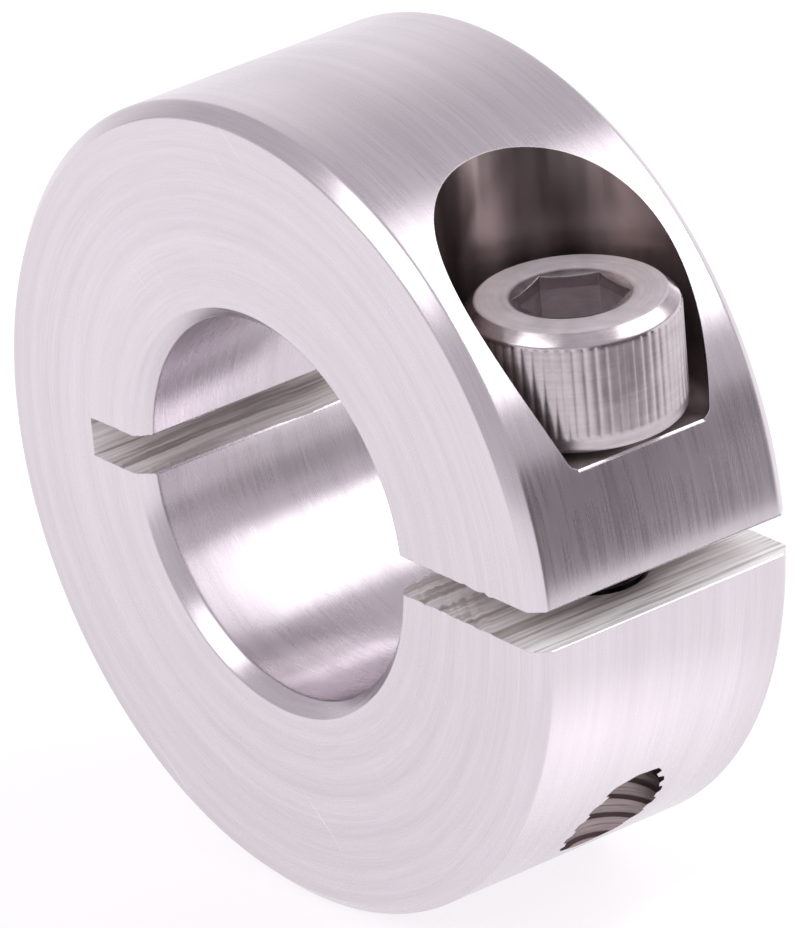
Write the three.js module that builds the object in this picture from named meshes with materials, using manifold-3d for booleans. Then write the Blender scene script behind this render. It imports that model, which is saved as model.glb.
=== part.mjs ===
// One-piece clamp collar for a 16 mm shaft, with its M5 socket head cap screw.
// Millimetres. The shaft runs along Y, the screw stands along Z at the +X side,
// and the saw cut lies in the plane z = 0. The origin is the middle of the bore.
// The ring is one piece of metal. Its two arms are modelled as two solids that
// meet at the thin web behind the bore, because the ring bends there.
import * as THREE from "three";
import { mergeVertices } from "three/addons/utils/BufferGeometryUtils.js";
import Module from "manifold-3d";

const wasm = await Module();
wasm.setup();

// Ring
const boreDiameter = 16;
const outerDiameter = 34;
const ringWidth = 13;
const boreChamfer = 0.6;
const edgeChamfer = 0.6;
const sawCut = 1.65; // height of the slit and of the relief slot opposite
const webThickness = 5.7; // metal left behind the relief slot
const webGap = 0.3; // parts the two arms' solids where the web bends

// Clamp screw, M5 with a 4 mm hexagon socket
const threadDiameter = 5;
const threadPitch = 0.8;
const screwLength = 12;
const tipChamfer = 0.5;
const headDiameter = 8.5;
const headHeight = 5;
const headEdgeRadius = 0.45;
const headFootRadius = 0.25;
const socketWidth = 4; // across the flats
const socketDepth = 2.5;
const socketChamfer = 0.25;
const socketTurn = THREE.MathUtils.degToRad(53); // a corner's angle from +X

// How the screw sits in the ring
const boreWall = 1.85; // metal between the bore and the screw's thread
const seatWall = 4.775; // metal between the slit and the head's seat
const headLift = 0.35; // gap left under the head while the clamp is open
const pocketClearance = 0.8; // round the head
const pocketCornerRadius = 0.5;
const shankClearance = 0.25; // round the shank in the seat arm
const threadClearance = 0.26; // between the thread's pitch cylinder and the tapped hole

const boreRadius = boreDiameter / 2;
const outerRadius = outerDiameter / 2;
const screwX = boreRadius + boreWall + threadDiameter / 2;
const seatZ = sawCut / 2 + seatWall;
const pitchRadius = (threadDiameter - 0.6495 * threadPitch) / 2; // ISO metric pitch cylinder
const ringSegments = 160;
const holeSegments = 64;
const past = 2; // how far a cutter runs past what it cuts

const aluminium = { color: 0xd9d2da, roughness: 0.38, metalness: 1 };
const stainless = { color: 0xa9a2a6, roughness: 0.3, metalness: 1 };

// The solid of a closed three.js geometry.
function solidOf(geometry) {
  const bare = geometry.clone();
  bare.deleteAttribute("normal");
  bare.deleteAttribute("uv");
  const merged = mergeVertices(bare, 1e-3);
  const vertProperties = new Float32Array(merged.attributes.position.array);
  const triVerts = new Uint32Array(merged.index.array);
  return new wasm.Manifold(new wasm.Mesh({ numProp: 3, vertProperties, triVerts }));
}

// A named mesh of a solid.
function meshOf(name, solid, finish) {
  const { numProp, vertProperties, triVerts } = solid.getMesh();
  const geometry = new THREE.BufferGeometry();
  const data = new THREE.InterleavedBuffer(vertProperties, numProp);
  geometry.setAttribute("position", new THREE.InterleavedBufferAttribute(data, 3, 0));
  geometry.setIndex(new THREE.BufferAttribute(triVerts, 1));
  geometry.computeVertexNormals();
  const mesh = new THREE.Mesh(geometry, new THREE.MeshStandardMaterial(finish));
  mesh.name = name;
  return mesh;
}

// Turns a list of [radius, height] points, axis to axis or closed, about Y.
function turned(points, segments) {
  const profile = points.map(([radius, height]) => new THREE.Vector2(radius, height));
  return new THREE.LatheGeometry(profile, segments);
}

// A quarter round from one angle to another, as points for a turned profile.
function roundCorner(centreRadius, centreHeight, radius, fromAngle, toAngle, steps = 6) {
  return Array.from({ length: steps + 1 }, (_, i) => {
    const angle = THREE.MathUtils.degToRad(fromAngle + ((toAngle - fromAngle) * i) / steps);
    return [centreRadius + radius * Math.cos(angle), centreHeight + radius * Math.sin(angle)];
  });
}

// The ring as it leaves the lathe, its axis along Y.
function ringBlank() {
  const face = ringWidth / 2;
  const profile = [
    [boreRadius, boreChamfer - face],
    [boreRadius + boreChamfer, -face],
    [outerRadius - edgeChamfer, -face],
    [outerRadius, edgeChamfer - face],
    [outerRadius, face - edgeChamfer],
    [outerRadius - edgeChamfer, face],
    [boreRadius + boreChamfer, face],
    [boreRadius, face - boreChamfer],
    [boreRadius, boreChamfer - face],
  ];
  return solidOf(turned(profile, ringSegments));
}

// The saw cut: through the +X wall, and into the -X wall as far as the web.
function sawCutter() {
  const webFace = webThickness - outerRadius;
  const length = outerRadius + past - webFace;
  const blade = new THREE.BoxGeometry(length, ringWidth + 2 * past, sawCut);
  blade.translate(webFace + length / 2, 0, 0);
  return solidOf(blade);
}

// Everything on one side of the web's bending line: side +1 is above, -1 below.
function armHalf(side) {
  const reach = outerRadius + past;
  const half = new THREE.BoxGeometry(2 * reach, ringWidth + 2 * past, reach);
  half.translate(0, 0, side * (webGap / 2 + reach / 2));
  return solidOf(half);
}

// A plain round hole along Z at the screw.
function screwHole(radius, fromZ, toZ) {
  const hole = new THREE.CylinderGeometry(radius, radius, toZ - fromZ, holeSegments);
  hole.rotateX(Math.PI / 2);
  hole.translate(screwX, 0, (fromZ + toZ) / 2);
  return solidOf(hole);
}

// The counterbore for the head: flat floor, rounded corner, open to the outside.
function pocketCutter() {
  const radius = headDiameter / 2 + pocketClearance;
  const corner = pocketCornerRadius;
  const profile = [
    [0, 0],
    ...roundCorner(radius - corner, corner, corner, -90, 0),
    [radius, outerRadius + past - seatZ],
    [0, outerRadius + past - seatZ],
  ];
  const pocket = turned(profile, holeSegments);
  pocket.rotateX(Math.PI / 2);
  pocket.translate(screwX, 0, seatZ);
  return solidOf(pocket);
}

// The arm that carries the screw's head.
function upperRingHalf(blank, saw) {
  const shankHole = screwHole(threadDiameter / 2 + shankClearance, 0, seatZ + past);
  return blank.intersect(armHalf(1)).subtract(saw).subtract(pocketCutter()).subtract(shankHole);
}

// The arm that the screw pulls up, with the tapped hole right through it.
function lowerRingHalf(blank, saw) {
  const tapped = screwHole(pitchRadius + threadClearance, -outerRadius - past, 0);
  return blank.intersect(armHalf(-1)).subtract(saw).subtract(tapped);
}

// The screw, with its head's underside at z = 0 and its thread as a plain cylinder.
function screwBody() {
  const headRadius = headDiameter / 2;
  const foot = headFootRadius;
  const edge = headEdgeRadius;
  const profile = [
    [0, -screwLength],
    [pitchRadius - tipChamfer, -screwLength],
    [pitchRadius, tipChamfer - screwLength],
    [pitchRadius, 0],
    ...roundCorner(headRadius - foot, foot, foot, -90, 0, 4),
    ...roundCorner(headRadius - edge, headHeight - edge, edge, 0, 90),
    [0, headHeight],
  ];
  const screw = turned(profile, holeSegments);
  screw.rotateX(Math.PI / 2);
  return solidOf(screw);
}

// The hexagon socket, with a chamfered mouth and a pointed bottom.
function socketCutter() {
  const corner = socketWidth / Math.sqrt(3);
  const point = corner * Math.tan(Math.PI / 6);
  const hexagon = new THREE.CylinderGeometry(corner, corner, socketDepth + past, 6);
  hexagon.translate(0, headHeight - socketDepth + (socketDepth + past) / 2, 0);
  const bottom = new THREE.CylinderGeometry(corner, corner / 20, point, 6);
  bottom.translate(0, headHeight - socketDepth - point / 2, 0);
  const mouth = turned(
    [
      [0, headHeight - 2 * socketChamfer],
      [corner - socketChamfer, headHeight - 2 * socketChamfer],
      [corner + socketChamfer + past, headHeight + past],
      [0, headHeight + past],
    ],
    holeSegments,
  );
  const parts = [hexagon, bottom, mouth].map((part) => {
    part.rotateX(Math.PI / 2);
    part.rotateZ(Math.PI / 2 + socketTurn);
    return solidOf(part);
  });
  return parts[0].add(parts[1]).add(parts[2]);
}

const blank = ringBlank();
const saw = sawCutter();
const upper = meshOf("upper_ring_half", upperRingHalf(blank, saw), aluminium);
const lower = meshOf("lower_ring_half", lowerRingHalf(blank, saw), aluminium);
const screw = meshOf("clamp_screw", screwBody().subtract(socketCutter()), stainless);
screw.position.set(screwX, 0, seatZ + headLift);

const group = new THREE.Group();
group.name = "shaft_collar";
group.add(upper, lower, screw);

export default group;
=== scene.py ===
# A one-piece clamp collar for a 16 mm shaft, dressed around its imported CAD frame.
import bpy
import bmesh
import math
from mathutils import Matrix, Vector


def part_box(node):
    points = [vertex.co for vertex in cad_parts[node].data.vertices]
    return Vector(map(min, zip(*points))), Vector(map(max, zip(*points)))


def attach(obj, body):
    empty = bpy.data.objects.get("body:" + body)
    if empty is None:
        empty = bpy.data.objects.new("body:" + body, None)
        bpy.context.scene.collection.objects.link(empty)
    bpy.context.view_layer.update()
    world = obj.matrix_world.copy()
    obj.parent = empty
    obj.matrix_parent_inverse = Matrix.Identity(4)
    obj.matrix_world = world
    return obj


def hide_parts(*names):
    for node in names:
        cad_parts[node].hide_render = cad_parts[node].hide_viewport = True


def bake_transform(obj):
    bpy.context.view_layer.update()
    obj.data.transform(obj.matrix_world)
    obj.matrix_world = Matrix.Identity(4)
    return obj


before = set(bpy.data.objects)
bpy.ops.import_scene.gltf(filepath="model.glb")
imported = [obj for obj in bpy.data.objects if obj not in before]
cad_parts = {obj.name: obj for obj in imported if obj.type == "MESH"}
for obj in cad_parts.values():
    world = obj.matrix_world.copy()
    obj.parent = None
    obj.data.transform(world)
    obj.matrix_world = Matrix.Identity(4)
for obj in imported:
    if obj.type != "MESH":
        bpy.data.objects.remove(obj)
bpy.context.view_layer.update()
mm = 0.001
mergeDistance = 0.0005 * mm  # vertices nearer than this are one
near = 0.01  # mm within which two places count as the same
print("frame loaded")

# Places taken from the frame, in mm
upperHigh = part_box("upper_ring_half")[1]
screwLow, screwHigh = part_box("clamp_screw")
outerRadius = upperHigh.z / mm
halfWidth = upperHigh.y / mm
screwX = (screwLow.x + screwHigh.x) / 2 / mm
headTop = screwHigh.z / mm
screwTip = screwLow.z / mm
seatHeight = 5.6  # the counterbore's floor above the middle of the saw cut


def deselectAll():
    if bpy.context.object and bpy.context.object.mode != "OBJECT":
        bpy.ops.object.mode_set(mode="OBJECT")
    bpy.ops.object.select_all(action="DESELECT")


def makeActive(piece):
    deselectAll()
    piece.select_set(True)
    bpy.context.view_layer.objects.active = piece


def editMode(piece):
    makeActive(piece)
    bpy.ops.object.mode_set(mode="EDIT")


def objectMode():
    bpy.ops.object.mode_set(mode="OBJECT")


def applyPlace(piece):
    makeActive(piece)
    bpy.ops.object.transform_apply(location=True, rotation=True, scale=True)


def applyModifiers(piece):
    makeActive(piece)
    for name in [m.name for m in piece.modifiers]:
        bpy.ops.object.modifier_apply(modifier=name)


def mergeDoubles(piece):
    editMode(piece)
    bpy.ops.mesh.select_all(action="SELECT")
    bpy.ops.mesh.remove_doubles(threshold=mergeDistance)


# Cuts with a tool's path, or joins or keeps what they share; the cut faces take the tool's finish.
def cutWith(piece, cutter, operation="DIFFERENCE"):
    makeActive(piece)
    cut = piece.modifiers.new("cut", "BOOLEAN")
    cut.operation = operation
    cut.solver = "EXACT"
    cut.material_mode = "TRANSFER"
    cut.object = cutter
    applyModifiers(piece)
    bpy.data.objects.remove(cutter)
    mergeDoubles(piece)
    objectMode()


def closeAndOrient(piece, fillEnds=True):
    mergeDoubles(piece)
    if fillEnds:
        bpy.ops.mesh.select_all(action="DESELECT")
        bpy.ops.mesh.select_non_manifold()
        bpy.ops.mesh.fill_holes(sides=0)
    bpy.ops.mesh.select_all(action="SELECT")
    bpy.ops.mesh.normals_make_consistent(inside=False)
    objectMode()


# In edit mode, selects only the edges that the test picks.
def selectEdges(piece, picks, flush=False):
    bpy.ops.mesh.select_all(action="DESELECT")
    mesh = bmesh.from_edit_mesh(piece.data)
    for edge in mesh.edges:
        edge.select_set(picks(edge))
    if flush:
        mesh.select_flush_mode()
    bmesh.update_edit_mesh(piece.data)


# Smooths a piece, but keeps every line sharp where one tool's cut meets another's.
def smoothBetweenCuts(piece, degrees):
    makeActive(piece)
    bpy.ops.object.shade_smooth_by_angle(angle=math.radians(degrees))
    editMode(piece)
    selectEdges(piece, lambda edge: len({face.material_index for face in edge.link_faces}) > 1)
    bpy.ops.mesh.mark_sharp()
    objectMode()


def moveToScrew(piece, height=0.0):
    piece.location = (screwX * mm, 0, height * mm)
    applyPlace(piece)


# Turns a profile of (radius, height) points round Z, ring by ring.
def turnOnLathe(name, profile, segments, material):
    radius, height = profile[0]
    deselectAll()
    bpy.ops.mesh.primitive_circle_add(vertices=segments, radius=radius * mm, location=(0, 0, 0))
    piece = bpy.context.object
    piece.name = name
    piece.data.materials.append(material)
    bpy.ops.object.mode_set(mode="EDIT")
    bpy.ops.mesh.select_all(action="SELECT")
    bpy.ops.transform.translate(value=(0, 0, height * mm))
    for nextRadius, nextHeight in profile[1:]:
        rise = (nextHeight - height) * mm
        bpy.ops.mesh.extrude_region_move(TRANSFORM_OT_translate={"value": (0, 0, rise)})
        grow = nextRadius / radius
        bpy.ops.transform.resize(value=(grow, grow, 1), center_override=(0, 0, 0))
        radius, height = nextRadius, nextHeight
    objectMode()
    closeAndOrient(piece)
    return piece


# Points of a round corner of a profile, between two angles in degrees.
def roundCorner(centreRadius, centreHeight, radius, fromAngle, toAngle, steps):
    points = []
    for step in range(steps + 1):
        angle = math.radians(fromAngle + (toAngle - fromAngle) * step / steps)
        points.append((centreRadius + radius * math.cos(angle), centreHeight + radius * math.sin(angle)))
    return points


# sRGB hex to the linear colour that a shader wants.
def colour(hexText):
    parts = [int(hexText[i:i + 2], 16) / 255 for i in (1, 3, 5)]
    linear = [c / 12.92 if c <= 0.04045 else ((c + 0.055) / 1.055) ** 2.4 for c in parts]
    return (*linear, 1.0)


# Adds a node, sets what is given, and links its inputs.
def addNode(tree, kind, settings=None, values=None, links=None):
    node = tree.nodes.new(kind)
    for key, value in (settings or {}).items():
        setattr(node, key, value)
    for key, value in (values or {}).items():
        node.inputs[key].default_value = value
    for key, source in (links or {}).items():
        tree.links.new(source, node.inputs[key])
    return node


# The base values stand in wherever the nodes aren't read.
def newMaterial(name, base, metallic, roughness):
    material = bpy.data.materials.new(name)
    material.use_nodes = True
    tree = material.node_tree
    shader = tree.nodes["Principled BSDF"]
    shader.inputs["Base Color"].default_value = colour(base)
    shader.inputs["Metallic"].default_value = metallic
    shader.inputs["Roughness"].default_value = roughness
    return material, tree, shader


# Places on a turned surface, in mm: how far from the axis, how far along it and which way round it.
def latheCoordinates(tree, axis, centre):
    where = addNode(tree, "ShaderNodeTexCoord")
    fromAxis = addNode(tree, "ShaderNodeVectorMath", {"operation": "SUBTRACT"}, {1: Vector(centre) * mm},
                       {0: where.outputs["Object"]})
    scaled = addNode(tree, "ShaderNodeVectorMath", {"operation": "SCALE"}, {"Scale": 1 / mm},
                     {0: fromAxis.outputs[0]})
    parts = addNode(tree, "ShaderNodeSeparateXYZ", links={0: scaled.outputs[0]})
    across, along = ("Z", "Y") if axis == "Y" else ("Y", "Z")
    flat = addNode(tree, "ShaderNodeCombineXYZ", links={0: parts.outputs["X"], 1: parts.outputs[across]})
    radius = addNode(tree, "ShaderNodeVectorMath", {"operation": "LENGTH"}, links={0: flat.outputs[0]})
    facing = addNode(tree, "ShaderNodeVectorMath", {"operation": "NORMALIZE"},
                     links={0: flat.outputs[0]})
    turn = addNode(tree, "ShaderNodeSeparateXYZ", links={0: facing.outputs[0]})
    axisVector = (0, 1, 0) if axis == "Y" else (0, 0, 1)
    cross = addNode(tree, "ShaderNodeVectorMath", {"operation": "CROSS_PRODUCT"}, {0: axisVector},
                    {1: fromAxis.outputs[0]})
    tangent = addNode(tree, "ShaderNodeVectorTransform",
                      {"vector_type": "VECTOR", "convert_from": "OBJECT", "convert_to": "WORLD"},
                      links={0: cross.outputs[0]})
    return {
        "point": scaled.outputs[0],
        "radius": radius.outputs["Value"],
        "along": parts.outputs[along],
        "cosine": turn.outputs["X"],
        "sine": turn.outputs["Y"],
        "tangent": tangent.outputs[0],
    }


# Lines that run round the axis, this far apart and about this long at the given radius.
def latheLines(tree, place, pitch, length, radius, detail=3.0):
    stretch = pitch * radius / length
    turned = []
    for side in ("cosine", "sine"):
        turned.append(addNode(tree, "ShaderNodeMath", {"operation": "MULTIPLY"}, {1: stretch},
                              {0: place[side]}))
    vector = addNode(tree, "ShaderNodeCombineXYZ",
                     links={0: place["radius"], 1: place["along"], 2: turned[0].outputs[0]})
    lines = addNode(tree, "ShaderNodeTexNoise", {"noise_dimensions": "4D"},
                    {"Scale": 1 / pitch, "Detail": detail, "Roughness": 0.6},
                    {"Vector": vector.outputs[0], "W": turned[1].outputs[0]})
    return lines.outputs["Fac"]


# Soft patches of about this size, in mm.
def softPatches(tree, point, size, detail=2.0):
    patches = addNode(tree, "ShaderNodeTexNoise", {}, {"Scale": 1 / size, "Detail": detail},
                      {"Vector": point})
    return patches.outputs["Fac"]


# Takes a pattern's middle range to a new low and high.
def spread(tree, pattern, low, high, fromLow=0.3, fromHigh=0.7):
    values = {"From Min": fromLow, "From Max": fromHigh, "To Min": low, "To Max": high}
    ranged = addNode(tree, "ShaderNodeMapRange", {}, values, {"Value": pattern})
    return ranged.outputs["Result"]


def mixColours(tree, pattern, first, second):
    mixed = addNode(tree, "ShaderNodeMix", {"data_type": "RGBA"}, {6: colour(first), 7: colour(second)},
                    {0: pattern})
    return mixed.outputs[2]


# Lays a second colour over what is there, where the pattern says.
def mixOver(tree, pattern, under, over):
    mixed = addNode(tree, "ShaderNodeMix", {"data_type": "RGBA"}, {7: colour(over)},
                    {0: pattern, 6: under})
    return mixed.outputs[2]


# A few faint straight scratches, their length and width in mm.
def fineScratches(tree, point, turn, length, width):
    askew = addNode(tree, "ShaderNodeMapping", {"vector_type": "TEXTURE"},
                    {"Rotation": (0, math.radians(turn), 0), "Scale": (length, length, width)},
                    {"Vector": point})
    marks = addNode(tree, "ShaderNodeTexNoise", {}, {"Scale": 1.0, "Detail": 0.0},
                    {"Vector": askew.outputs[0]})
    return spread(tree, marks.outputs["Fac"], 0, 1, 0.8, 0.9)


def combine(tree, first, second, operation="ADD"):
    both = addNode(tree, "ShaderNodeMath", {"operation": operation}, {}, {0: first, 1: second})
    return both.outputs[0]


# Bumps of the given height in mm, and edges rounded off by the given radius in mm.
def surfaceNormal(tree, shader, pattern, height, edge):
    broken = addNode(tree, "ShaderNodeBevel", {"samples": 4}, {"Radius": edge * mm})
    bump = addNode(tree, "ShaderNodeBump", {}, {"Strength": 1.0, "Distance": height * mm},
                   {"Height": pattern, "Normal": broken.outputs[0]})
    tree.links.new(bump.outputs[0], shader.inputs["Normal"])


# The grooves run round the axis, so the light spreads across them.
def brushRound(tree, shader, place, anisotropy):
    shader.inputs["Anisotropic"].default_value = anisotropy
    shader.inputs["Anisotropic Rotation"].default_value = 0.25
    tree.links.new(place["tangent"], shader.inputs["Tangent"])


# Fine-turned bare aluminium: pale, slightly violet grey; its rings stretch each reflection into a band.
def makeTurnedAluminium():
    material, tree, shader = newMaterial("turnedAluminium", "#dedade", 1.0, 0.3)
    place = latheCoordinates(tree, "Y", (0, 0, 0))
    feed = latheLines(tree, place, 0.13, 3, 15, 1.0)  # the feed was about 0.1 mm; coarser here to show
    rings = latheLines(tree, place, 0.6, 50, 15, 4.0)
    handled = softPatches(tree, place["point"], 3.5)
    tone = combine(tree, spread(tree, feed, 0, 0.35), spread(tree, rings, 0, 0.65))
    fromMiddle = addNode(tree, "ShaderNodeMath", {"operation": "ABSOLUTE"}, {}, {0: place["along"]})
    onFaces = spread(tree, fromMiddle.outputs[0], 0, 1, halfWidth - 0.1, halfWidth - 0.05)
    slides = fineScratches(tree, place["point"], 40, 7, 0.15)  # where the faces slid on a bench
    scratches = combine(tree, onFaces, slides, "MULTIPLY")
    metal = mixColours(tree, tone, "#d2cbd1", "#e3dce2")
    tree.links.new(mixOver(tree, scratches, metal, "#ece5ea"), shader.inputs["Base Color"])
    dull = combine(tree, spread(tree, feed, 0.22, 0.28), spread(tree, handled, 0, 0.05))
    tree.links.new(combine(tree, dull, spread(tree, scratches, 0, 0.04, 0, 1)), shader.inputs["Roughness"])
    relief = combine(tree, feed, spread(tree, rings, 0, 1.5))
    surfaceNormal(tree, shader, relief, 0.00035, 0.05)
    brushRound(tree, shader, place, 0.7)
    return material


# Saw-cut bare aluminium: torn, so it scatters light; browner, streaked straight across the ring; painted
# paler near the outside, where light falls in.
def makeSawnAluminium():
    material, tree, shader = newMaterial("sawnAluminium", "#c4babb", 0.35, 0.55)
    where = addNode(tree, "ShaderNodeTexCoord")
    patterns = []
    for pitch, length in ((0.6, 9), (0.18, 6)):  # mm between streaks, mm along them
        sized = addNode(tree, "ShaderNodeMapping", {},
                        {"Scale": (1 / (pitch * mm), 1 / (length * mm), 1 / (pitch * mm))},
                        {"Vector": where.outputs["Object"]})
        streaks = addNode(tree, "ShaderNodeTexNoise", {}, {"Scale": 1.0, "Detail": 3.0},
                          {"Vector": sized.outputs[0]})
        patterns.append(streaks.outputs["Fac"])
    coarse, fine = patterns
    tone = combine(tree, spread(tree, coarse, 0, 0.6, 0.42, 0.53), spread(tree, fine, 0, 0.4, 0.4, 0.6))
    parts = addNode(tree, "ShaderNodeSeparateXYZ", links={0: where.outputs["Object"]})
    # Painted light: the face is painted white near the outside, where light falls in from the room.
    rim = spread(tree, parts.outputs["X"], 0, 1, (outerRadius - 1.8) * mm, (outerRadius - 0.8) * mm)
    litNearOutside = combine(tree, rim, spread(tree, fine, 0.2, 1, 0.42, 0.55), "MULTIPLY")  # painted light where the cut opens to the outside
    streaked = mixColours(tree, tone, "#b4a8a6", "#fffdfd")
    tree.links.new(mixOver(tree, litNearOutside, streaked, "#ffffff"), shader.inputs["Base Color"])
    tree.links.new(spread(tree, fine, 0.45, 0.6), shader.inputs["Roughness"])
    relief = combine(tree, coarse, fine)
    surfaceNormal(tree, shader, relief, 0.035, 0.05)
    across = addNode(tree, "ShaderNodeVectorTransform",
                     {"vector_type": "VECTOR", "convert_from": "OBJECT", "convert_to": "WORLD"},
                     {0: (1, 0, 0)})
    tree.links.new(across.outputs[0], shader.inputs["Tangent"])
    shader.inputs["Anisotropic"].default_value = 0.7  # the streaks throw the light sideways
    return material


# Counterbored and drilled aluminium: bright metal, painted brown-grey as painted shade for the shut-in
# recess, with painted reflections in upright bands; its floor duller than its wall.
def makeMilledAluminium():
    material, tree, shader = newMaterial("milledAluminium", "#8a7e80", 1.0, 0.2)
    place = latheCoordinates(tree, "Z", (screwX, 0, 0))
    rings = latheLines(tree, place, 0.18, 12, 5, 2.0)
    upright = addNode(tree, "ShaderNodeMapping", {}, {"Scale": (1, 1, 0.15)}, {"Vector": place["point"]})
    # Upright soft patches: in the colour they are painted reflection streaks; in the roughness they are a
    # real variation.
    tonePatches = softPatches(tree, upright.outputs[0], 1.5)
    aside = addNode(tree, "ShaderNodeMath", {"operation": "ABSOLUTE"}, {}, {0: place["sine"]})
    middleBand = spread(tree, aside.outputs[0], 0.6, 0, 0.08, 0.3)
    sideBands = spread(tree, aside.outputs[0], 0, 0.6, 0.74, 0.9)
    paintedReflectionBands = combine(tree, middleBand, sideBands)  # painted reflections: upright bright bands in the middle and at the sides
    tone = combine(tree, paintedReflectionBands, spread(tree, tonePatches, 0, 0.4))
    # Painted shade: the colours are a darker brown-grey than the metal, for the shade in the recess.
    tree.links.new(mixColours(tree, tone, "#5d5253", "#cbbab8"), shader.inputs["Base Color"])
    seat = spread(tree, place["along"], 1, 0, seatHeight + 0.1, seatHeight + 0.5)
    dull = combine(tree, spread(tree, tonePatches, 0.2, 0.27), spread(tree, seat, 0, 0.3, 0, 1))
    tree.links.new(dull, shader.inputs["Roughness"])
    tree.links.new(spread(tree, seat, 0.9, 0.2, 0, 1), shader.inputs["Metallic"])
    surfaceNormal(tree, shader, rings, 0.0008, 0.05)
    brushRound(tree, shader, place, 0.85)
    return material


# Tapped aluminium: torn a little along the thread, so rougher and greyer than the counterbore.
def makeTappedAluminium():
    material, tree, shader = newMaterial("tappedAluminium", "#b0a6a9", 1.0, 0.4)
    place = latheCoordinates(tree, "Z", (screwX, 0, 0))
    tears = latheLines(tree, place, 0.1, 2, 2.5)
    metal = mixColours(tree, spread(tree, tears, 0, 1), "#7f7273", "#aea1a0")
    tree.links.new(metal, shader.inputs["Base Color"])
    tree.links.new(spread(tree, tears, 0.35, 0.5), shader.inputs["Roughness"])
    surfaceNormal(tree, shader, tears, 0.006, 0.05)
    return material


# Cold-headed stainless steel: warmer and darker than the ring, tumbled so its edges shine softly.
def makeStainlessSteel():
    material, tree, shader = newMaterial("stainlessSteel", "#c3bbbe", 1.0, 0.24)
    place = latheCoordinates(tree, "Z", (screwX, 0, 0))
    rings = latheLines(tree, place, 0.14, 3, 4)
    tumbled = softPatches(tree, place["point"], 0.8, 3.0)
    tone = combine(tree, spread(tree, rings, 0, 0.5), spread(tree, tumbled, 0, 0.5))
    tree.links.new(mixColours(tree, tone, "#bdb4b7", "#dad2d5"), shader.inputs["Base Color"])
    top = spread(tree, place["along"], 0, 1, headTop - 0.06, headTop - 0.02)  # the struck top is dull
    side = spread(tree, place["along"], 1, 0, headTop - 0.7, headTop - 0.6)  # and so is the worn knurl
    dull = combine(tree, spread(tree, side, 0, 0.18, 0, 1), spread(tree, top, 0, 0.2, 0, 1))
    tree.links.new(combine(tree, spread(tree, tumbled, 0.2, 0.28), dull), shader.inputs["Roughness"])
    tree.links.new(spread(tree, top, 1, 0.3, 0, 1), shader.inputs["Metallic"])
    relief = combine(tree, rings, spread(tree, tumbled, 0, 1.5))
    surfaceNormal(tree, shader, relief, 0.0015, 0.06)
    brushRound(tree, shader, place, 0.3)
    return material


# The screw's thread, rolled stainless steel: painted dark, as painted shade for the saw cut and the hole
# that it sits in.
def makeShadedThread():
    material, tree, shader = newMaterial("shadedThread", "#5c5658", 1.0, 0.4)
    place = latheCoordinates(tree, "Z", (screwX, 0, 0))
    tonePatches = softPatches(tree, place["point"], 0.6, 3.0)
    # Painted shade: the thread is coloured dark for the shade it sits in.
    paintedShade = mixColours(tree, spread(tree, tonePatches, 0, 1), "#443f41", "#7a7376")
    tree.links.new(paintedShade, shader.inputs["Base Color"])
    tree.links.new(spread(tree, tonePatches, 0.3, 0.5), shader.inputs["Roughness"])
    surfaceNormal(tree, shader, tonePatches, 0.01, 0.04)
    return material


turnedAluminium = makeTurnedAluminium()
sawnAluminium = makeSawnAluminium()
milledAluminium = makeMilledAluminium()
tappedAluminium = makeTappedAluminium()
stainlessSteel = makeStainlessSteel()
shadedThread = makeShadedThread()
print("materials made")

# The ring, turned from bar, then sawn, counterbored, drilled and tapped
ring = {
    "boreRadius": 8.0,
    "chamfer": 0.6,
    "edgeBreak": 0.08,  # radius of the tiny rounds where flats meet chamfers
    "holdingLoop": 0.08,  # keeps the flats' shading flat beside those rounds
    "segments": 360,
    "outsideLoops": 28,  # keep the outside's shading true beside the holes
    "sawCut": 1.65,
    "sawReach": -11.3,  # where the relief slot ends
    "bladeCorner": 0.35,  # round worn on the blade's cutting corners
    "bladeWidth": 18,
    "bladeCuts": (180, 24),  # along X and along Y, for the saw's marks
    "sawRipple": 0.12,  # height of the saw's marks
    "sawMarkPitch": 0.4,
    "sawMarkStretch": 8,  # how much longer than wide the marks are
    "deburr": 0.08,  # the file's cut on either side of a straight edge
    "fileStroke": 15,
    "lipStroke": 0.93,  # share of the counterbore's lip that the file reaches
    "cutterPast": 1.5,  # how far a cutter runs past the outside
    "smoothAngle": 28,
}


# One chamfered corner with its two edges just broken, from one flat to the next.
def chamferPoints(start, end, before, after):
    edge = ring["edgeBreak"]
    along = Vector((end[0] - start[0], end[1] - start[1])).normalized()
    points = []
    for corner, inward, outward in ((start, before, along), (end, -along, after)):
        middle = Vector(corner)
        first = middle + inward * edge
        last = middle + outward * edge
        for step in range(4):
            t = step / 3
            points.append((1 - t) ** 2 * first + 2 * t * (1 - t) * middle + t * t * last)
    hold = ring["holdingLoop"] + edge
    return [Vector(start) + before * hold, *points, Vector(end) + after * hold]


def makeRingBlank():
    bore, outer, face, chamfer = ring["boreRadius"], outerRadius, halfWidth, ring["chamfer"]
    up, right = Vector((0, 1)), Vector((1, 0))
    profile = []
    profile += chamferPoints((bore, face - chamfer), (bore + chamfer, face), -up, right)
    profile += chamferPoints((outer - chamfer, face), (outer, face - chamfer), -right, -up)
    loops = ring["outsideLoops"]
    for step in range(1, loops):
        profile.append(Vector((outer, (face - chamfer) * (1 - 2 * step / loops))))
    profile += chamferPoints((outer, chamfer - face), (outer - chamfer, -face), up, -right)
    profile += chamferPoints((bore + chamfer, -face), (bore, chamfer - face), right, up)
    points = [(p[0], p[1]) for p in profile]
    piece = turnOnLathe("collar_ring", points + points[:1], ring["segments"], turnedAluminium)
    piece.rotation_euler = (math.radians(90), 0, 0)
    applyPlace(piece)
    return piece


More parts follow.
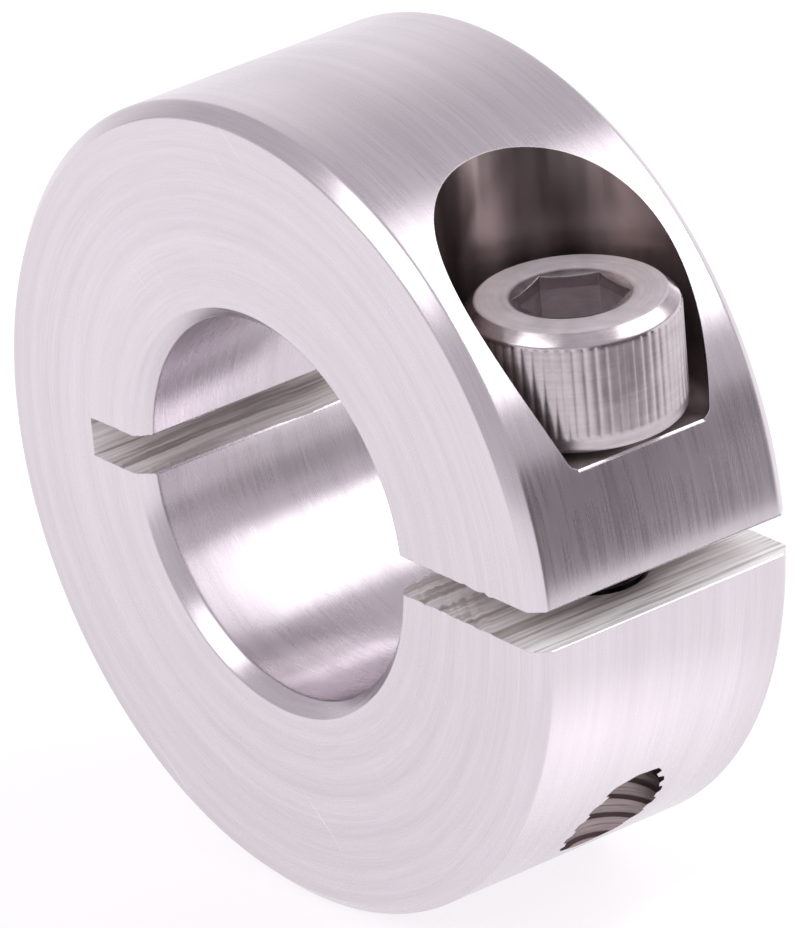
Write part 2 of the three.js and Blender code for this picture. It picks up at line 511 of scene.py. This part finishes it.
# The slitting saw's path: through the screw's side, and into the back wall. It is rippled while it is
# squeezed along Y, so that its marks are long once it is stretched again.
def makeSawPath():
    low, high = ring["sawReach"], outerRadius + ring["cutterPast"]
    stretch = ring["sawMarkStretch"]
    deselectAll()
    bpy.ops.mesh.primitive_cube_add(size=1, location=((low + high) / 2 * mm, 0, 0))
    blade = bpy.context.object
    blade.data.materials.append(sawnAluminium)
    blade.scale = ((high - low) * mm, ring["bladeWidth"] * mm / stretch, ring["sawCut"] * mm)
    applyPlace(blade)
    editMode(blade)

    def onCuttingCorner(edge):
        start, end = edge.verts[0].co / mm, edge.verts[1].co / mm
        return max(start.x, end.x) < low + near and abs(start.z - end.z) < near

    selectEdges(blade, onCuttingCorner, flush=True)
    bpy.ops.mesh.bevel(offset=ring["bladeCorner"] * mm, segments=4)
    for axis, cuts in enumerate(ring["bladeCuts"]):

        def liesAlong(edge):
            run = edge.verts[1].co - edge.verts[0].co
            return abs(run[axis]) > 0.9 * run.length

        selectEdges(blade, liesAlong, flush=True)
        bpy.ops.mesh.subdivide(number_cuts=cuts)
    objectMode()
    marks = bpy.data.textures.new("sawMarks", "CLOUDS")
    marks.noise_scale = ring["sawMarkPitch"] * mm
    marks.noise_depth = 2
    ripple = blade.modifiers.new("ripple", "DISPLACE")
    ripple.texture = marks
    ripple.texture_coords = "LOCAL"
    ripple.direction = "Z"
    ripple.strength = 2 * ring["sawRipple"] * mm
    applyModifiers(blade)
    blade.scale = (1, stretch, 1)
    applyPlace(blade)
    return blade


# One stroke of a file along Y, where a saw or a cutter left a sharp edge at (x, z).
def makeFileStroke(x, z, length):
    side = ring["deburr"] * math.sqrt(2)
    deselectAll()
    bpy.ops.mesh.primitive_cube_add(size=1, location=(x * mm, 0, z * mm))
    stroke = bpy.context.object
    stroke.data.materials.append(turnedAluminium)
    stroke.scale = (side * mm, length * mm, side * mm)
    stroke.rotation_euler = (0, math.radians(45), 0)
    applyPlace(stroke)
    return stroke


# Every straight edge along Y: the slit's, the relief slot's and the counterbore's lip. The strokes come
# before the cuts that make the edges, while the blank is whole.
def deburrEdges(piece):
    half = ring["sawCut"] / 2
    for radius, directions in ((outerRadius, (1,)), (ring["boreRadius"], (1, -1))):
        reach = math.sqrt(radius ** 2 - half ** 2)
        for way in directions:
            for height in (half, -half):
                cutWith(piece, makeFileStroke(reach * way, height, ring["fileStroke"]))
    lip = math.sqrt(outerRadius ** 2 - pocket["floor"] ** 2)
    lipLength = 2 * math.sqrt(pocket["radius"] ** 2 - (lip - screwX) ** 2)
    cutWith(piece, makeFileStroke(lip, pocket["floor"], lipLength * ring["lipStroke"]))


# The counterbore for the screw's head, and the clear hole under it
pocket = {
    "radius": 5.05,
    "floor": seatHeight,
    "corner": 0.35,
    "holdingLoop": 0.08,  # keeps the shading flat beside the corner's round
    "pilotRadius": 0.4,  # the cutter's middle, which the clear hole takes away
    "segments": 160,
    "shankHole": 2.75,
    "shankSegments": 96,
}


def makePocketPath():
    radius, floor, corner = pocket["radius"], pocket["floor"], pocket["corner"]
    hold, top = pocket["holdingLoop"], outerRadius + ring["cutterPast"]
    profile = [(pocket["pilotRadius"], floor), (radius - corner - hold, floor)]
    profile += roundCorner(radius - corner, floor + corner, corner, -90, 0, 8)
    profile += [(radius, floor + corner + hold), (radius, top)]
    cutter = turnOnLathe("pocketPath", profile, pocket["segments"], milledAluminium)
    moveToScrew(cutter)
    return cutter


# It starts a little below the saw cut's middle, so that no two cutters end in one plane.
def makeShankHole():
    radius = pocket["shankHole"]
    profile = [(radius, -0.1), (radius, pocket["floor"] + 1)]
    drill = turnOnLathe("shankHole", profile, pocket["shankSegments"], milledAluminium)
    moveToScrew(drill)
    return drill


# M5 thread, for the tapped hole and the screw. The two stand clear of each other, so that the clamp closes.
thread = {
    "pitch": 0.8,
    "steps": 48,
    "flankAngle": 30,
    "holeMajor": 2.47,
    "holeMinor": 2.1,
    "holeGroove": 0.52,  # share of the pitch that the groove takes at half depth
    "holeTop": 0.2,
    "holeFullDepth": -8.4,  # below this the tap's taper leaves a shallower groove
    "exitOverlap": 0.3,
    "exitMajor": 2.17,
    "exitMinor": 1.98,
    "screwMajor": 2.36,
    "screwMinor": 1.96,
    "screwRidge": 0.3,
}


# A threaded rod: one pitch of the profile, swept up the helix and cut off square.
def makeThreadedRod(name, inner, outer, ridge, low, high, material):
    pitch = thread["pitch"]
    flank = (outer - inner) * math.tan(math.radians(thread["flankAngle"]))
    crest = pitch * ridge - flank
    root = pitch - crest - 2 * flank
    rise = root + flank
    profile = [(inner, 0), (inner, root), (outer, rise), (outer, rise + crest), (inner, pitch)]
    deselectAll()
    bpy.ops.mesh.primitive_plane_add(size=0.1 * mm, location=(0, 0, 0))
    rod = bpy.context.object
    rod.name = name
    rod.data.materials.append(material)
    bpy.ops.object.mode_set(mode="EDIT")
    bpy.ops.mesh.select_all(action="SELECT")
    bpy.ops.mesh.merge(type="CENTER")
    bpy.ops.mesh.select_all(action="SELECT")
    radius, height = profile[0]
    start = math.floor(low / pitch - 1) * pitch
    bpy.ops.transform.translate(value=(radius * mm, 0, (height + start) * mm))
    for nextRadius, nextHeight in profile[1:]:
        step = ((nextRadius - radius) * mm, 0, (nextHeight - height) * mm)
        bpy.ops.mesh.extrude_vertices_move(TRANSFORM_OT_translate={"value": step})
        radius, height = nextRadius, nextHeight
    objectMode()
    helix = rod.modifiers.new("helix", "SCREW")
    helix.screw_offset = pitch * mm
    helix.iterations = math.ceil((high - start) / pitch) + 1
    helix.steps = helix.render_steps = thread["steps"]
    helix.use_merge_vertices = True
    helix.merge_threshold = 0.002 * mm
    applyModifiers(rod)
    editMode(rod)
    for cutHeight, direction in ((low, -1), (high, 1)):
        bpy.ops.mesh.select_all(action="SELECT")
        bpy.ops.mesh.bisect(plane_co=(0, 0, cutHeight * mm), plane_no=(0, 0, direction),
                            use_fill=True, clear_outer=True, threshold=0.0001 * mm)
    objectMode()
    closeAndOrient(rod)
    rod.rotation_euler = (0, 0, math.pi)  # so that no groove just nicks the outside at the hole's exit
    moveToScrew(rod)
    return rod


def makeRing():
    piece = makeRingBlank()
    deburrEdges(piece)
    cutWith(piece, makePocketPath())
    cutWith(piece, makeShankHole())
    full, groove = thread["holeFullDepth"], thread["holeGroove"]
    cutWith(piece, makeThreadedRod("tappedHole", thread["holeMinor"], thread["holeMajor"], groove,
                                   full, thread["holeTop"], tappedAluminium))
    cutWith(piece, makeThreadedRod("holeExit", thread["exitMinor"], thread["exitMajor"], groove,
                                   -outerRadius - 1, full + thread["exitOverlap"], tappedAluminium))
    cutWith(piece, makeSawPath())
    closeAndOrient(piece, fillEnds=False)
    smoothBetweenCuts(piece, ring["smoothAngle"])
    return piece


collarRing = makeRing()
print("ring cut:", len(collarRing.data.polygons), "faces")

# The clamp screw: M5, knurled cylindrical head, hexagon socket
screw = {
    "ribs": 64,
    "pointsPerRib": 6,
    "ribRadius": 4.3,
    "grooveDepth": 0.05,
    "plainRadius": 4.25,
    "plainBand": 0.55,  # below the knurl
    "runOut": 0.1,  # height over which the knurl rises from the plain band
    "knurlLoops": (0.25, 0.1),  # from the plain band and from the knurl's top, where the grooves stop
    "innerRadii": (1.5, 0.5),  # where the turned profile stops at the foot and at the top
    "headHeight": 5.0,
    "edgeChamfer": 0.48,
    "edgeRound": 0.2,
    "footRound": 0.3,
    "holdingLoop": 0.05,  # keeps the shading flat beside the rounds
    "socketFlats": 4.0,
    "socketDepth": 2.5,
    "mouthRadius": 2.6,
    "mouthAngle": 15,
    "drillShare": 0.96,  # of the socket's flats
    "drillSlope": 0.5,
    "toolSegments": 96,
    "cornerTurn": 53,
    "tipChamfer": 0.5,
    "shankOverlap": 0.3,  # how far the shank reaches into the head before they are joined
    "smoothAngle": 29,
}


def makeHead():
    rib, plain, band = screw["ribRadius"], screw["plainRadius"], screw["plainBand"]
    height, edge, foot = screw["headHeight"], screw["edgeRound"], screw["footRound"]
    chamfer, hold, runOut = screw["edgeChamfer"], screw["holdingLoop"], screw["runOut"]
    perRib = screw["pointsPerRib"]
    firstLoop, lastLoop = screw["knurlLoops"]
    innerFoot, innerTop = screw["innerRadii"]
    blend = edge * (math.sqrt(2) - 1)  # how far a corner's round reaches along each side
    knurlTop = height - chamfer - blend
    profile = [(innerFoot, 0), (plain - foot - hold, 0)]
    profile += roundCorner(plain - foot, foot, foot, -90, 0, 5)
    profile += [(plain, band), (rib, band + runOut), (rib, band + firstLoop), (rib, knurlTop - lastLoop)]
    profile += roundCorner(plain - edge, knurlTop, edge, 0, 45, 5)
    profile += roundCorner(plain - chamfer - blend, height - edge, edge, 45, 90, 5)
    profile += [(plain - chamfer - blend - hold, height), (innerTop, height)]
    head = turnOnLathe("clamp_screw_head", profile, screw["ribs"] * perRib, stainlessSteel)
    step = math.tau / (screw["ribs"] * perRib)
    for places, depth in (((0,), screw["grooveDepth"]), ((1, perRib - 1), screw["grooveDepth"] / 3)):
        editMode(head)
        bpy.ops.mesh.select_all(action="DESELECT")
        mesh = bmesh.from_edit_mesh(head.data)
        for vert in mesh.verts:
            radius = math.hypot(vert.co.x, vert.co.y) / mm
            place = round(math.atan2(vert.co.y, vert.co.x) / step) % perRib
            inBand = band + 0.2 < vert.co.z / mm < knurlTop - hold
            vert.select_set(inBand and radius > rib - near and place in places)
        mesh.select_flush_mode()
        bmesh.update_edit_mesh(head.data)
        shrink = (rib - depth) / rib
        bpy.ops.transform.resize(value=(shrink, shrink, 1), center_override=(0, 0, 0))
    objectMode()
    return head


def makeSocketPath():
    corner = screw["socketFlats"] / math.sqrt(3)
    height, depth = screw["headHeight"], screw["socketDepth"]
    deselectAll()
    bpy.ops.mesh.primitive_cylinder_add(vertices=6, radius=corner * mm, depth=(depth + 1) * mm,
                                        location=(0, 0, (height - depth + (depth + 1) / 2) * mm))
    hexagon = bpy.context.object
    hexagon.data.materials.append(stainlessSteel)
    hexagon.rotation_euler = (0, 0, math.radians(90 + screw["cornerTurn"]))
    applyPlace(hexagon)
    return hexagon


def makeMouthPath():
    height, radius = screw["headHeight"], screw["mouthRadius"]
    slope = math.tan(math.radians(screw["mouthAngle"]))
    profile = [(0.2, height - (radius - 0.2) * slope), (radius + 1, height + slope)]
    return turnOnLathe("mouthPath", profile, screw["toolSegments"], stainlessSteel)


def makeDrillPoint():
    radius = screw["socketFlats"] / 2 * screw["drillShare"]
    floor = screw["headHeight"] - screw["socketDepth"]
    profile = [(0.02, floor - radius * screw["drillSlope"]), (radius, floor), (radius, floor + 0.5)]
    return turnOnLathe("drillPoint", profile, 64, stainlessSteel)


# The knurl's ribs are worn round, so their edges shade smoothly.
def softenKnurl(piece):
    low = headTop - screw["headHeight"] + screw["plainBand"]
    high = headTop - screw["edgeChamfer"]

    def onKnurl(edge):
        middle = (edge.verts[0].co + edge.verts[1].co) / 2 / mm
        outside = math.hypot(middle.x - screwX, middle.y) > screw["plainRadius"] - 0.1
        return outside and low - screw["runOut"] / 2 < middle.z < high

    editMode(piece)
    selectEdges(piece, onKnurl)
    bpy.ops.mesh.mark_sharp(clear=True)
    objectMode()


def makeScrew():
    head = makeHead()
    cutWith(head, makeMouthPath())
    cutWith(head, makeSocketPath())
    cutWith(head, makeDrillPoint())
    headFoot = headTop - screw["headHeight"]
    moveToScrew(head, headFoot)
    minor, major = thread["screwMinor"], thread["screwMajor"]
    shank = makeThreadedRod("shank", minor, major, thread["screwRidge"],
                            screwTip, headFoot + screw["shankOverlap"], shadedThread)
    chamferTop = screwTip + screw["tipChamfer"]
    envelope = [(minor - 0.1, screwTip), (major + 0.1, chamferTop), (major + 0.1, headTop)]
    tipShape = turnOnLathe("tipShape", envelope, screw["toolSegments"], shadedThread)
    moveToScrew(tipShape)
    cutWith(shank, tipShape, "INTERSECT")
    cutWith(head, shank, "UNION")
    closeAndOrient(head, fillEnds=False)
    smoothBetweenCuts(head, screw["smoothAngle"])
    softenKnurl(head)
    head.name = "clamp_screw_m5"
    return head


clampScrew = makeScrew()
print("screw made:", len(clampScrew.data.polygons), "faces")

# Camera at the object's three-quarter view, far off with a long lens: degrees and mm
camera = {
    "azimuth": 53.11,
    "elevation": 24.11,
    "roll": -4.93,
    "distance": 440.3,
    "lens": 428.4,
    "aimRight": 0.269,
    "aimUp": -0.049,
}


def makeCamera():
    azimuth, elevation = math.radians(camera["azimuth"]), math.radians(camera["elevation"])
    back = Vector((math.sin(azimuth) * math.cos(elevation), -math.cos(azimuth) * math.cos(elevation),
                   math.sin(elevation)))
    level = Vector((math.cos(azimuth), math.sin(azimuth), 0))
    upright = back.cross(level)
    roll = math.radians(camera["roll"])
    right = math.cos(roll) * level + math.sin(roll) * upright
    up = math.cos(roll) * upright - math.sin(roll) * level
    place = back * camera["distance"] + right * camera["aimRight"] + up * camera["aimUp"]
    data = bpy.data.cameras.new("camera")
    data.lens = camera["lens"]
    data.clip_start, data.clip_end = 0.01, 20
    eye = bpy.data.objects.new("camera", data)
    bpy.context.scene.collection.objects.link(eye)
    turn = Matrix((right, up, back)).transposed().to_4x4()
    eye.matrix_world = Matrix.Translation(place * mm) @ turn
    bpy.context.scene.camera = eye


makeCamera()

# Studio: a white light table, two soft boxes, a grey room that is paler on one side and a dark card
studio = {
    "floorSize": 6.0,  # in metres
    "floorColour": "#9b9a9b",
    "floorGlow": 0.74,
    "glowSpot": (21, 4),  # where the table's lamp stands, in mm
    "glowSpotSize": 11,
    "glowSpotExtra": 0.42,  # its glow on top of the rest
    "roomColour": "#cbc6cb",
    "paleSideColour": "#fffcff",
    "paleSide": (-0.85, 0.5, 0.0),
    "cardDistance": 70,
    "cardDirection": (0.99, 0.13, 0),
    "cardSize": (77, 37),
    "cardColour": "#625b5f",
}

# Soft boxes, in metres, with their brightness as the metal sees it
softBoxes = {
    "soft_box_back": {
        "direction": (0.364, 0.631, 0.69),
        "distance": 1.2,
        "size": (1.03, 0.7),
        "brightness": 2.4,
    },
    "soft_box_front": {
        "direction": (-0.02, -0.68, 0.73),
        "distance": 1.4,
        "size": (0.78, 0.72),
        "brightness": 2.2,
    },
}


def makeFloor():
    deselectAll()
    bpy.ops.mesh.primitive_plane_add(size=studio["floorSize"], location=(0, 0, -outerRadius * mm))
    floor = bpy.context.object
    floor.name = "studio_floor"
    applyPlace(floor)
    acrylic, tree, shader = newMaterial("lightTable", studio["floorColour"], 0.0, 0.8)
    shader.inputs["Emission Color"].default_value = colour("#fffdff")
    where = addNode(tree, "ShaderNodeTexCoord")
    x, y = studio["glowSpot"]
    away = addNode(tree, "ShaderNodeVectorMath", {"operation": "DISTANCE"},
                   {1: (x * mm, y * mm, -outerRadius * mm)}, {0: where.outputs["Object"]})
    dim = studio["floorGlow"]
    bright = dim + studio["glowSpotExtra"]
    glow = spread(tree, away.outputs["Value"], bright, dim, 0, studio["glowSpotSize"] * mm)
    tree.links.new(glow, shader.inputs["Emission Strength"])
    floor.data.materials.append(acrylic)


# A dark card that only the metal's reflections see, so it leaves the floor pale.
def makeCard():
    towards = Vector(studio["cardDirection"]).normalized()
    width, height = studio["cardSize"]
    place = towards * studio["cardDistance"]
    middle = height / 2 - outerRadius
    deselectAll()
    bpy.ops.mesh.primitive_plane_add(size=mm, location=(place.x * mm, place.y * mm, middle * mm))
    card = bpy.context.object
    card.name = "studio_card"
    card.scale = (width, height, 1)
    card.rotation_euler = (math.radians(90), 0, math.atan2(towards.y, towards.x) + math.radians(90))
    applyPlace(card)
    felt = newMaterial("greyFelt", studio["cardColour"], 0.0, 1.0)[0]
    card.data.materials.append(felt)
    card.visible_camera = card.visible_diffuse = card.visible_shadow = False


def makeSoftBox(name, box):
    width, height = box["size"]
    data = bpy.data.lights.new(name, "AREA")
    data.shape = "RECTANGLE"
    data.size, data.size_y = width, height
    data.energy = box["brightness"] * math.pi * width * height  # watts for that radiance
    light = bpy.data.objects.new(name, data)
    bpy.context.scene.collection.objects.link(light)
    towards = Vector(box["direction"]).normalized()
    light.location = towards * box["distance"]
    light.rotation_mode = "QUATERNION"
    light.rotation_quaternion = (-towards).to_track_quat("-Z", "Y")
    light.visible_camera = False


# The room is grey to the metal, paler on one side, and plain white behind the object.
def makeRoom():
    world = bpy.data.worlds.new("room")
    bpy.context.scene.world = world
    world.use_nodes = True
    tree = world.node_tree
    where = addNode(tree, "ShaderNodeTexCoord")
    facing = addNode(tree, "ShaderNodeVectorMath", {"operation": "DOT_PRODUCT"},
                     {1: Vector(studio["paleSide"]).normalized()}, {0: where.outputs["Generated"]})
    paleness = addNode(tree, "ShaderNodeMapRange", {"interpolation_type": "SMOOTHSTEP"},
                       {"From Min": 0.6, "From Max": 1.0}, {"Value": facing.outputs["Value"]})
    walls = mixColours(tree, paleness.outputs["Result"], studio["roomColour"], studio["paleSideColour"])
    path = addNode(tree, "ShaderNodeLightPath")
    seen = addNode(tree, "ShaderNodeMix", {"data_type": "RGBA"}, {7: colour("#ffffff")},
                   {0: path.outputs["Is Camera Ray"], 6: walls})
    tree.links.new(seen.outputs[2], tree.nodes["Background"].inputs["Color"])


makeFloor()
makeCard()
makeRoom()
for boxName, softBox in softBoxes.items():
    makeSoftBox(boxName, softBox)
bpy.context.scene.view_settings.view_transform = "Standard"
print("studio set")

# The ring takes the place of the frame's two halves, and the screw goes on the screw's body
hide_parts("upper_ring_half", "lower_ring_half")
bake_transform(collarRing)
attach(clampScrew, "clamp_screw")
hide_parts("clamp_screw")

print("pieces placed")
